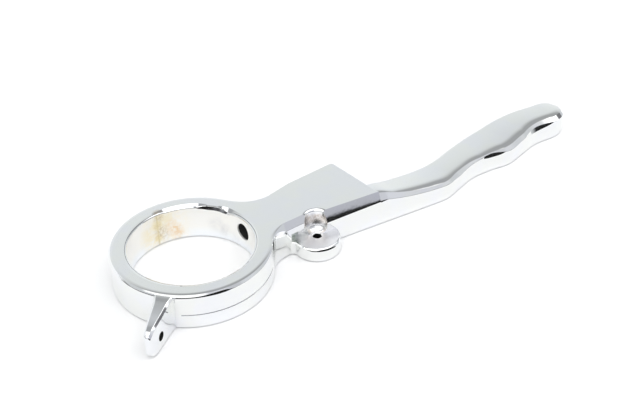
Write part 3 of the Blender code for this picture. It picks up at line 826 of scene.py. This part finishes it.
def make_spring(material):
    """A coil whose end turns lie close together."""
    wire = SPRING_WIRE
    radius = (spring_high.y - spring_low.y) / 2 - wire
    start, end = spring_low.x + wire, spring_high.x - wire
    count = SPRING_TURNS * 28
    closed = SPRING_END_TURNS / SPRING_TURNS
    end_length = 2 * wire * 1.05 * SPRING_END_TURNS
    points = []
    for i in range(count + 1):
        t = i / count
        if t < closed:
            x = start + end_length * t / closed
        elif t > 1 - closed:
            x = end - end_length * (1 - t) / closed
        else:
            x = mix(start + end_length, end - end_length, (t - closed) / (1 - 2 * closed))
        angle = math.tau * SPRING_TURNS * t
        points.append((x, radius * math.cos(angle), BORE_Z + radius * math.sin(angle)))
    spring = tube("spring", points, wire, 10)
    ride_for(spring, "plunger_spring", "lever", material, 60)


def make_plug(material):
    """A slotted grub screw with its thread cut as separate rings, and a pilot for the spring."""
    outer_x = plug_high.x
    pilot_x = plug_low.x
    inner_x = pilot_x + PILOT_LENGTH
    radius = PLUG_RADIUS
    pitch, depth = 0.00075, 0.00040
    profile = [(0, outer_x), (radius - 0.0006, outer_x), (radius - 0.0001, outer_x - 0.0004)]
    x = outer_x - 0.0006
    while x - pitch > inner_x + 0.0003:
        profile += [(radius, x), (radius, x - pitch * 0.2)]
        profile += [(radius - depth, x - pitch * 0.55), (radius - depth, x - pitch * 0.65)]
        x -= pitch
    profile += [(radius, x), (radius - depth, inner_x), (PILOT_RADIUS, inner_x)]
    profile += [(PILOT_RADIUS, pilot_x + 0.0004), (PILOT_RADIUS - 0.0004, pilot_x), (0, pilot_x)]
    plug = lathe("plug", profile, 96, TO_X_AXIS)
    low = (outer_x - PLUG_SLOT_DEPTH, -radius - PAST, BORE_Z - PLUG_SLOT_HALF)
    high = (outer_x + PAST, radius + PAST, BORE_Z + PLUG_SLOT_HALF)
    cut(plug, box("plug_slot", low, high))
    ride_for(plug, "spring_plug", "lever", material)


# ---- materials

class Nodes:
    """A small helper for writing node trees."""

    def __init__(self, tree):
        self.tree = tree

    def add(self, kind, inputs=None, **settings):
        node = self.tree.nodes.new(kind)
        for key, value in settings.items():
            setattr(node, key, value)
        for key, value in (inputs or {}).items():
            self.put(node.inputs[key], value)
        return node

    def put(self, socket, value):
        """Links a socket to another one, or sets its value."""
        if isinstance(value, bpy.types.NodeSocket):
            self.tree.links.new(value, socket)
        else:
            socket.default_value = value

    def math(self, operation, a, b=None):
        inputs = {0: a} if b is None else {0: a, 1: b}
        return self.add("ShaderNodeMath", inputs, operation=operation).outputs[0]

    def times(self, a, b):
        return self.math("MULTIPLY", a, b)

    def plus(self, a, b):
        return self.math("ADD", a, b)

    def larger(self, a, b):
        return self.math("MAXIMUM", a, b)

    def minus(self, a, b):
        return self.math("SUBTRACT", a, b)

    def gap(self, a, b):
        return self.math("ABSOLUTE", self.minus(a, b))

    def noise(self, vector, scale, detail=3.0, roughness=0.5, distortion=0.0):
        inputs = dict(Vector=vector, Scale=scale, Detail=detail)
        inputs.update(Roughness=roughness, Distortion=distortion)
        return self.add("ShaderNodeTexNoise", inputs).outputs["Fac"]

    def ramp(self, value, low, high, low_to=0.0, high_to=1.0, smooth=False):
        inputs = {"Value": value, "From Min": low, "From Max": high, "To Min": low_to, "To Max": high_to}
        kind = "SMOOTHSTEP" if smooth else "LINEAR"
        return self.add("ShaderNodeMapRange", inputs, interpolation_type=kind).outputs[0]

    def mix(self, factor, a, b):
        node = self.add("ShaderNodeMix", data_type="RGBA")
        for key, value in ((0, factor), (6, a), (7, b)):
            self.put(node.inputs[key], value)
        return node.outputs[2]


def new_material(name):
    material = bpy.data.materials.new(name)
    material.use_nodes = True
    nodes = Nodes(material.node_tree)
    shader = material.node_tree.nodes["Principled BSDF"]
    place = nodes.add("ShaderNodeTexCoord").outputs["Object"]
    return material, nodes, shader, place


def connect(nodes, shader, **sockets):
    for name, value in sockets.items():
        nodes.put(shader.inputs[name.replace("_", " ")], value)


def bump(nodes, height, strength, distance, normal=None):
    inputs = {"Height": height, "Strength": strength, "Distance": distance}
    if normal:
        inputs["Normal"] = normal
    return nodes.add("ShaderNodeBump", inputs).outputs["Normal"]


def within(nodes, value, edge, softness):
    """1 where the value is less than the edge, 0 past it."""
    return nodes.ramp(value, edge - softness, edge + softness, 1.0, 0.0, smooth=True)


def distance_to(nodes, a, a0, b, b0):
    da = nodes.minus(a, a0)
    db = nodes.minus(b, b0)
    return nodes.math("SQRT", nodes.plus(nodes.times(da, da), nodes.times(db, db)))


def toward(nodes, x, y, azimuth):
    """The part of (x, y) that points along an azimuth."""
    return nodes.plus(nodes.times(x, math.cos(azimuth)), nodes.times(y, math.sin(azimuth)))


def all_of(nodes, *masks):
    result = masks[0]
    for mask in masks[1:]:
        result = nodes.times(result, mask)
    return result


PLATING = ((0.855, 0.865, 0.885, 1), (0.865, 0.875, 0.860, 1))
PLATING_ROUGHNESS = (0.035, 0.075)
POCKET_SOIL = ((0.40, 0.33, 0.27, 1), (0.80, 0.77, 0.74, 1))
# The slot's colour: pale green-grey where it starts, darker green-grey towards the pocket.
SLOT_GREEN_GREYS = ((0.90, 0.93, 0.90, 1), (0.56, 0.61, 0.57, 1))
SHELF_TONE = (0.90, 0.90, 0.93, 1)
# Painted shade: a dark line round the foot of the walls, where the casting meets the floor.
FOOT_SHADE_TONE = (0.42, 0.43, 0.45, 1)
# Painted shade darkening the line cut round the ring's front wall.
GROOVE_SHADE_TONE = (0.30, 0.31, 0.33, 1)
# Painted shade: a dark ring on the bore wall just beside the liner's top edge.
JOINT_SHADE_TONE = (0.16, 0.17, 0.18, 1)
RUST_TONE = (0.60, 0.49, 0.34, 1)
# Painted shade: the insides of the small holes near black, the plunger's bore a little less dark.
HOLE_SHADE_TONE = (0.045, 0.046, 0.044, 1)
PLUNGER_BORE_SHADE_TONE = (0.10, 0.10, 0.10, 1)


def chrome_material():
    """Bright plating, thin and dull in the pocket and the slot, dull and darkened with painted shade
    inside the small holes.
    """
    material, nodes, shader, place = new_material("chrome_plate")
    x, y, z = nodes.add("ShaderNodeSeparateXYZ", {"Vector": place}).outputs
    cloud = nodes.noise(place, 90, 4, 0.55)
    fine = nodes.noise(place, 900, 3, 0.6)
    grain = nodes.noise(place, 2600, 4, 0.6)
    stretch = {"Vector": place, "Scale": (260, 5200, 2600), "Rotation": (0, 0, 0.5)}
    stretched = nodes.add("ShaderNodeMapping", stretch).outputs[0]
    scratches = nodes.ramp(nodes.noise(stretched, 1.0, 2, 0.5, 0.3), 0.66, 0.74)

    ear_distance = distance_to(nodes, x, EAR_CENTRE[0], y, EAR_CENTRE[1])
    above_ear = nodes.ramp(z, EAR_HEIGHT + 0.0001, EAR_HEIGHT + 0.0008, smooth=True)
    below_rim = within(nodes, z, RING_HEIGHT - POCKET_RIM - 0.0006, 0.0007)
    in_pocket = within(nodes, ear_distance, POCKET_RADIUS + 0.0002, 0.0001)
    pocket = all_of(nodes, in_pocket, above_ear, below_rim)
    slot = all_of(
        nodes,
        nodes.ramp(y, SLOT_MOUTH_Y, SLOT_MOUTH_Y + 0.0003),
        within(nodes, x, EAR_CENTRE[0] - POCKET_RADIUS, 0.0002),
        nodes.ramp(x, SLOT_START - 0.0002, SLOT_START - 0.0001),
        within(nodes, z, EAR_HEIGHT + SLOT_HEIGHT + 0.0001, 0.00003),
        nodes.ramp(z, EAR_HEIGHT - 0.0002, EAR_HEIGHT - 0.0001),
        within(nodes, y, SLOT_DEPTH_Y + 0.0001, 0.00003),
    )
    # Painted shade: the insides of the ear hole, the lug hole and the plunger's bore are darkened.
    ear_hole = all_of(
        nodes,
        within(nodes, ear_distance, EAR_HOLE_RADIUS + 0.00008, 0.00003),
        within(nodes, z, EAR_HEIGHT - EAR_HOLE_EDGE * 0.7, 0.00005),
    )
    reach = toward(nodes, x, y, LUG_ANGLE)
    lug_distance = distance_to(nodes, reach, LUG_HOLE_POSITION[0], z, LUG_HOLE_POSITION[1])
    lug_hole = within(nodes, lug_distance, LUG_HOLE_RADIUS + 0.00006, 0.00003)
    axis_distance = distance_to(nodes, y, 0.0, z, BORE_Z)
    past_liner = nodes.ramp(x, BORE_RADIUS - 0.0004, BORE_RADIUS - 0.0002)
    plunger_hole = all_of(nodes, within(nodes, axis_distance, PLUG_RADIUS + 0.0004, 0.0001), past_liner)
    holes = nodes.larger(nodes.larger(ear_hole, lug_hole), plunger_hole)
    height_from_ear = nodes.gap(z, EAR_HEIGHT)
    on_ear = within(nodes, ear_distance, EAR_RADIUS - 0.0006, 0.0003)
    shelf = all_of(nodes, within(nodes, height_from_ear, 0.00008, 0.00002), on_ear)
    hub_distance = distance_to(nodes, x, 0.0, y, 0.0)
    # Painted shade inside the line cut between the ring's lower band and its upper wall.
    band_groove_shade = all_of(
        nodes,
        within(nodes, hub_distance, RING_RADIUS - 0.00003, 0.00001),
        nodes.ramp(hub_distance, RING_RADIUS - 0.0005, RING_RADIUS - 0.0004),
        within(nodes, height_from_ear, BAND_LINE_RADIUS, 0.00002),
    )

    # Painted shade on the bore wall beside the liner's top, where the gap between the two parts lies.
    shade_beside_liner = all_of(
        nodes,
        within(nodes, hub_distance, BORE_RADIUS + 0.00010, 0.00002),
        nodes.ramp(z, RING_HEIGHT - 0.0007, RING_HEIGHT - 0.0006),
    )
    rust_x, rust_y = BORE_RADIUS * math.cos(RUST_ANGLE), BORE_RADIUS * math.sin(RUST_ANGLE)
    near_rust = within(nodes, distance_to(nodes, x, rust_x, y, rust_y), 0.0013, 0.0010)
    rust = nodes.times(near_rust, nodes.ramp(fine, 0.30, 0.60, 0.3, 0.9))

    brown = nodes.mix(nodes.ramp(grain, 0.35, 0.65), *POCKET_SOIL)
    high = nodes.ramp(z, EAR_HEIGHT + 0.0016, EAR_HEIGHT + 0.0034, 0.15, 0.85, smooth=True)
    grey_green = nodes.mix(nodes.ramp(x, SLOT_START, SLOT_START + 0.0050), *SLOT_GREEN_GREYS)
    layers = (
        (nodes.times(pocket, high), brown),
        (nodes.times(slot, 0.9), grey_green),
        (nodes.times(shelf, 0.9), SHELF_TONE),
        # Painted shade round the foot of the walls, in the lowest quarter millimetre.
        (within(nodes, z, 0.00025, 0.00008), FOOT_SHADE_TONE),
        (band_groove_shade, GROOVE_SHADE_TONE),
        (shade_beside_liner, JOINT_SHADE_TONE),
        (rust, RUST_TONE),
        (holes, HOLE_SHADE_TONE),
        (plunger_hole, PLUNGER_BORE_SHADE_TONE),
    )
    tint = nodes.mix(nodes.ramp(cloud, 0.40, 0.62, smooth=True), *PLATING)
    for mask, tone in layers:
        tint = nodes.mix(mask, tint, tone)

    roughness = nodes.ramp(fine, 0.35, 0.75, *PLATING_ROUGHNESS)
    roughness = nodes.plus(roughness, nodes.times(scratches, 0.05))
    for mask, dullness in ((pocket, 0.24), (slot, 0.55), (shelf, 0.42), (holes, 0.60)):
        roughness = nodes.larger(roughness, nodes.times(mask, dullness))
    wobble = bump(nodes, cloud, 0.06, 0.0006)
    normal = bump(nodes, scratches, 0.04, 0.00002, wobble)
    connect(nodes, shader, Base_Color=tint, Metallic=1.0, Roughness=roughness, Normal=normal)
    return material


# Stains on the liner: angle in degrees, height, radius, strength
YELLOW_STAINS = (
    (90, 0.0080, 0.0026, 0.9),
    (91, 0.0030, 0.0020, 0.9),
    (84, 0.0098, 0.0040, 0.5),
    (100, 0.0060, 0.0045, 0.4),
)
BROWN_STAINS = (
    (87, 0.0050, 0.0030, 0.8),
    (84, 0.0036, 0.0026, 0.6),
    (88, 0.0106, 0.0020, 0.9),
    (90, 0.0078, 0.0016, 0.6),
)
ORANGE_STAINS = ((73, 0.0042, 0.0027, 0.9), (70, 0.0026, 0.0022, 0.7), (76, 0.0066, 0.0022, 0.4))
GREY_STAINS = ((24, 0.0040, 0.0030, 0.6), (32, 0.0058, 0.0034, 0.4), (14, 0.0022, 0.0026, 0.4))
SATIN = ((0.93, 0.92, 0.87, 1), (0.90, 0.90, 0.90, 1))
LOW_BAND_TONE = (0.90, 0.94, 0.99, 1)
HAZE_ANGLE = math.radians(84)
HAZE_TONE = (0.92, 0.86, 0.72, 1)
YELLOW = (0.84, 0.74, 0.46, 1)
ORANGE = (0.82, 0.60, 0.36, 1)
BROWN = (0.56, 0.46, 0.30, 1)
GREY = (0.66, 0.66, 0.68, 1)
SEAM_TONE = (0.70, 0.60, 0.34, 1)
LIP_TONE = (0.89, 0.90, 0.91, 1)


def liner_material():
    """A satin bush, stained yellow, brown and orange round its seam, with a polished lip."""
    material, nodes, shader, place = new_material("stained_liner")
    x, y, z = nodes.add("ShaderNodeSeparateXYZ", {"Vector": place}).outputs
    angle = nodes.math("ARCTAN2", y, x)
    around = nodes.times(angle, BORE_RADIUS)
    cloud = nodes.noise(place, 260, 5, 0.6, 0.6)
    blotch = nodes.noise(place, 700, 4, 0.65, 0.6)
    speck = nodes.noise(place, 1500, 3, 0.6, 0.4)

    def stains(rows, texture, low, high):
        total = None
        for degrees, height, radius, strength in rows:
            distance = distance_to(nodes, around, math.radians(degrees) * BORE_RADIUS, z, height)
            mask = nodes.ramp(distance, radius * 0.2, radius * 1.3, strength, 0.0, smooth=True)
            total = mask if total is None else nodes.larger(total, mask)
        return nodes.times(total, nodes.ramp(texture, low, high, 0.25, 1.0, smooth=True))

    haze = nodes.ramp(nodes.gap(angle, HAZE_ANGLE), 0.15, 0.60, 0.75, 0.0, smooth=True)
    beside_seam = within(nodes, nodes.gap(around, LINER_SEAM_ANGLE * BORE_RADIUS), 0.0003, 0.0003)
    layers = (
        (nodes.times(within(nodes, z, 0.0030, 0.0022), 0.8), LOW_BAND_TONE),
        (nodes.times(haze, nodes.ramp(blotch, 0.30, 0.60)), HAZE_TONE),
        (stains(YELLOW_STAINS, blotch, 0.20, 0.55), YELLOW),
        (stains(ORANGE_STAINS, blotch, 0.30, 0.62), ORANGE),
        (stains(BROWN_STAINS, speck, 0.40, 0.66), BROWN),
        (stains(GREY_STAINS, cloud, 0.30, 0.60), GREY),
        (nodes.times(beside_seam, 0.6), SEAM_TONE),
    )
    colour = nodes.mix(cloud, *SATIN)
    for mask, tone in layers:
        colour = nodes.mix(mask, colour, tone)
    lip = nodes.ramp(z, LIP_LOWEST, LIP_LOWEST + 0.0001)
    facing_in = nodes.ramp(distance_to(nodes, x, 0.0, y, 0.0), LINER_LIP_INNER, LINER_LIP_INNER + 0.00002)
    polished = nodes.times(lip, facing_in)
    colour = nodes.mix(polished, colour, LIP_TONE)
    roughness = nodes.ramp(cloud, 0.3, 0.7, 0.28, 0.42)
    satin = nodes.minus(1.0, polished)
    roughness = nodes.plus(nodes.times(roughness, satin), 0.04)
    metallic = nodes.larger(0.45, polished)
    normal = bump(nodes, nodes.times(cloud, satin), 0.12, 0.0001)
    connect(nodes, shader, Base_Color=colour, Metallic=metallic, Roughness=roughness, Normal=normal)
    return material


def steel_material(name, colour, roughness, along_x=True):
    """Turned or drawn steel with fine marks round its own axis, and a faint patchy tone."""
    material, nodes, shader, place = new_material(name)
    scale = (9000, 300, 300) if along_x else (300, 300, 9000)
    stretched = nodes.add("ShaderNodeMapping", {"Vector": place, "Scale": scale}).outputs[0]
    marks = nodes.noise(stretched, 1.0, 2, 0.5)
    patches = nodes.noise(place, 500, 4, 0.6)
    darker = tuple(c * 0.72 for c in colour) + (1,)
    tone = nodes.mix(nodes.ramp(patches, 0.35, 0.65, smooth=True), (*colour, 1), darker)
    rough = nodes.ramp(marks, 0.3, 0.7, roughness * 0.8, roughness * 1.3)
    normal = bump(nodes, marks, 0.15, 0.00002)
    connect(nodes, shader, Base_Color=tone, Metallic=1.0, Roughness=rough, Normal=normal)
    return material


def floor_material():
    material, nodes, shader, place = new_material("pale_floor")
    tone = nodes.noise(place, 6, 2, 0.5)
    colour = nodes.mix(tone, (0.955, 0.955, 0.955, 1), (0.97, 0.97, 0.97, 1))
    connect(nodes, shader, Base_Color=colour, Roughness=0.9, Specular_IOR_Level=0.1)
    connect(nodes, shader, Emission_Color=colour, Emission_Strength=0.05)
    return material


# ---- stage, light and camera

CAMERA_PLACE = Vector((-0.13382, -0.22550, 0.20812))
CAMERA_FORWARD = Vector((0.51205, 0.63459, -0.57887))
CAMERA_UP = Vector((0.38096, 0.43621, 0.81521))
CAMERA_LENS = 61.44
FLOOR_SIZE = 4.0
FLOOR_Z = -0.00002
FRONT = math.radians(-100)
QUARTER_TURN = math.radians(90)

# The room's parts, placed by azimuth or by one component of the direction, and their tones
RIGHT_SIDE = (math.radians(-66), math.radians(-52))
END_WALL = (0.80, 0.95)
END_WALL_TONE = (0.66, 0.68, 0.71, 1)
LOW_LEFT_TONE = (0.03, 0.03, 0.03, 1)
BOX_AZIMUTH = math.radians(-148)
BOX_HALF_WIDTH = math.radians(40)
BOX_SOFTNESS = math.radians(5)
BOX_LOW = (math.sin(math.radians(9)), math.sin(math.radians(13)))
BOX_HIGH = math.sin(math.radians(50))
BOX_TONE = (1.35, 1.35, 1.35, 1)
CARD_AZIMUTH = math.radians(-12)
CARD_HALF_WIDTH = math.radians(15)
CARD_SOFTNESS = math.radians(2)
CARD_LOW = (0.27, 0.31)
CARD_HIGH = 0.52
CARD_TONE = (0.20, 0.20, 0.21, 1)
BACKDROP_TONE = (0.97, 0.97, 0.97, 1)


def make_floor():
    half = FLOOR_SIZE / 2
    steps = 24
    line = [mix(-half, half, i / steps) for i in range(steps + 1)]
    verts = [(x, y, FLOOR_Z) for x in line for y in line]
    faces = []
    for i in range(steps):
        for j in range(steps):
            a = i * (steps + 1) + j
            faces.append((a, a + steps + 1, a + steps + 2, a + 1))
    floor = add_object("floor", verts, faces)
    floor.data.materials.append(floor_material())


# Brightness of the room by the angle up from the near horizon, over the top, down to the far one.
# The near side is dim, and darker straight ahead than to the right.
HORIZON_STOPS = (
    (0.0, (0.02, 0.02, 0.02)),
    (6.5, (0.02, 0.02, 0.02)),
)
NEAR_STOPS = (
    (7.8, (0.51, 0.52, 0.58)),
    (18.0, (0.55, 0.56, 0.62)),
    (28.0, (0.61, 0.62, 0.67)),
    (39.0, (0.75, 0.76, 0.80)),
)
RIGHT_STOPS = (
    (7.8, (0.66, 0.68, 0.74)),
    (18.0, (0.70, 0.72, 0.77)),
    (28.0, (0.73, 0.75, 0.79)),
    (39.0, (0.77, 0.78, 0.82)),
)
FAR_STOPS = (
    (48.0, (0.82, 0.83, 0.86)),
    (58.0, (1.85, 1.85, 1.85)),
    (95.0, (1.85, 1.85, 1.85)),
    (103.0, (0.40, 0.41, 0.42)),
    (119.0, (0.40, 0.41, 0.42)),
    (130.0, (0.68, 0.70, 0.71)),
    (140.0, (0.80, 0.83, 0.84)),
    (155.0, (0.89, 0.92, 0.93)),
    (180.0, (0.93, 0.95, 0.96)),
)


def add_ramp(nodes, value, stops):
    ramp = nodes.add("ShaderNodeValToRGB", {"Fac": value})
    elements = ramp.color_ramp.elements
    while len(elements) < len(stops):
        elements.new(0.5)
    for element, (degrees, colour) in zip(elements, stops):
        element.position = degrees / 180
        element.color = (*colour, 1)
    return ramp.outputs["Color"]


def make_world():
    """A soft white room: bright above, a soft box on the near left and a dark card at the right end."""
    world = bpy.data.worlds.new("studio")
    bpy.context.scene.world = world
    world.use_nodes = True
    nodes = Nodes(world.node_tree)
    background = world.node_tree.nodes["Background"]
    way = nodes.add("ShaderNodeTexCoord").outputs["Generated"]
    x, y, z = nodes.add("ShaderNodeSeparateXYZ", {"Vector": way}).outputs
    ahead = toward(nodes, x, y, FRONT)
    angle = nodes.math("DIVIDE", nodes.math("ARCTAN2", z, ahead), math.pi)
    turn = nodes.math("ARCTAN2", y, x)
    to_right = nodes.ramp(turn, *RIGHT_SIDE, smooth=True)
    colour = nodes.mix(
        to_right,
        add_ramp(nodes, angle, HORIZON_STOPS + NEAR_STOPS + FAR_STOPS),
        add_ramp(nodes, angle, HORIZON_STOPS + RIGHT_STOPS + FAR_STOPS),
    )
    sideways = nodes.math("ABSOLUTE", toward(nodes, x, y, FRONT + QUARTER_TURN))
    end_wall = nodes.ramp(sideways, *END_WALL, smooth=True)
    low_left = nodes.times(within(nodes, z, 0.075, 0.025), within(nodes, x, 0.0, 0.1))
    colour = nodes.mix(end_wall, colour, nodes.mix(low_left, END_WALL_TONE, LOW_LEFT_TONE))
    beside = toward(nodes, x, y, BOX_AZIMUTH - QUARTER_TURN)
    box_turn = nodes.math("ARCTAN2", beside, toward(nodes, x, y, BOX_AZIMUTH))
    soft_box = all_of(
        nodes,
        within(nodes, nodes.math("ABSOLUTE", box_turn), BOX_HALF_WIDTH, BOX_SOFTNESS),
        nodes.ramp(z, *BOX_LOW, smooth=True),
        within(nodes, z, BOX_HIGH, 0.05),
    )
    colour = nodes.mix(soft_box, colour, BOX_TONE)
    card = all_of(
        nodes,
        within(nodes, nodes.gap(turn, CARD_AZIMUTH), CARD_HALF_WIDTH, CARD_SOFTNESS),
        nodes.ramp(z, *CARD_LOW, smooth=True),
        within(nodes, z, CARD_HIGH, 0.03),
    )
    colour = nodes.mix(card, colour, CARD_TONE)
    seen = nodes.add("ShaderNodeLightPath").outputs["Is Camera Ray"]
    colour = nodes.mix(seen, colour, BACKDROP_TONE)
    world.node_tree.links.new(colour, background.inputs["Color"])
    background.inputs["Strength"].default_value = 1.0


def make_camera():
    data = bpy.data.cameras.new("camera")
    data.lens = CAMERA_LENS
    data.sensor_width = 36.0
    data.clip_start = 0.01
    camera = bpy.data.objects.new("camera", data)
    bpy.context.scene.collection.objects.link(camera)
    right = CAMERA_FORWARD.cross(CAMERA_UP).normalized()
    up = right.cross(CAMERA_FORWARD).normalized()
    axes = Matrix((right, up, -CAMERA_FORWARD)).transposed().to_4x4()
    camera.matrix_world = Matrix.Translation(CAMERA_PLACE) @ axes
    bpy.context.scene.camera = camera


make_casting(chrome_material())
make_liner(liner_material())
make_plunger(steel_material("plunger_steel", (0.24, 0.24, 0.24), 0.42))
make_key_pin(steel_material("pin_steel", (0.58, 0.58, 0.59), 0.22, along_x=False))
make_spring(steel_material("spring_steel", (0.36, 0.37, 0.39), 0.32))
make_plug(steel_material("plug_zinc", (0.66, 0.67, 0.68), 0.26))
make_floor()
make_world()
make_camera()
bpy.context.scene.view_settings.view_transform = "Standard"
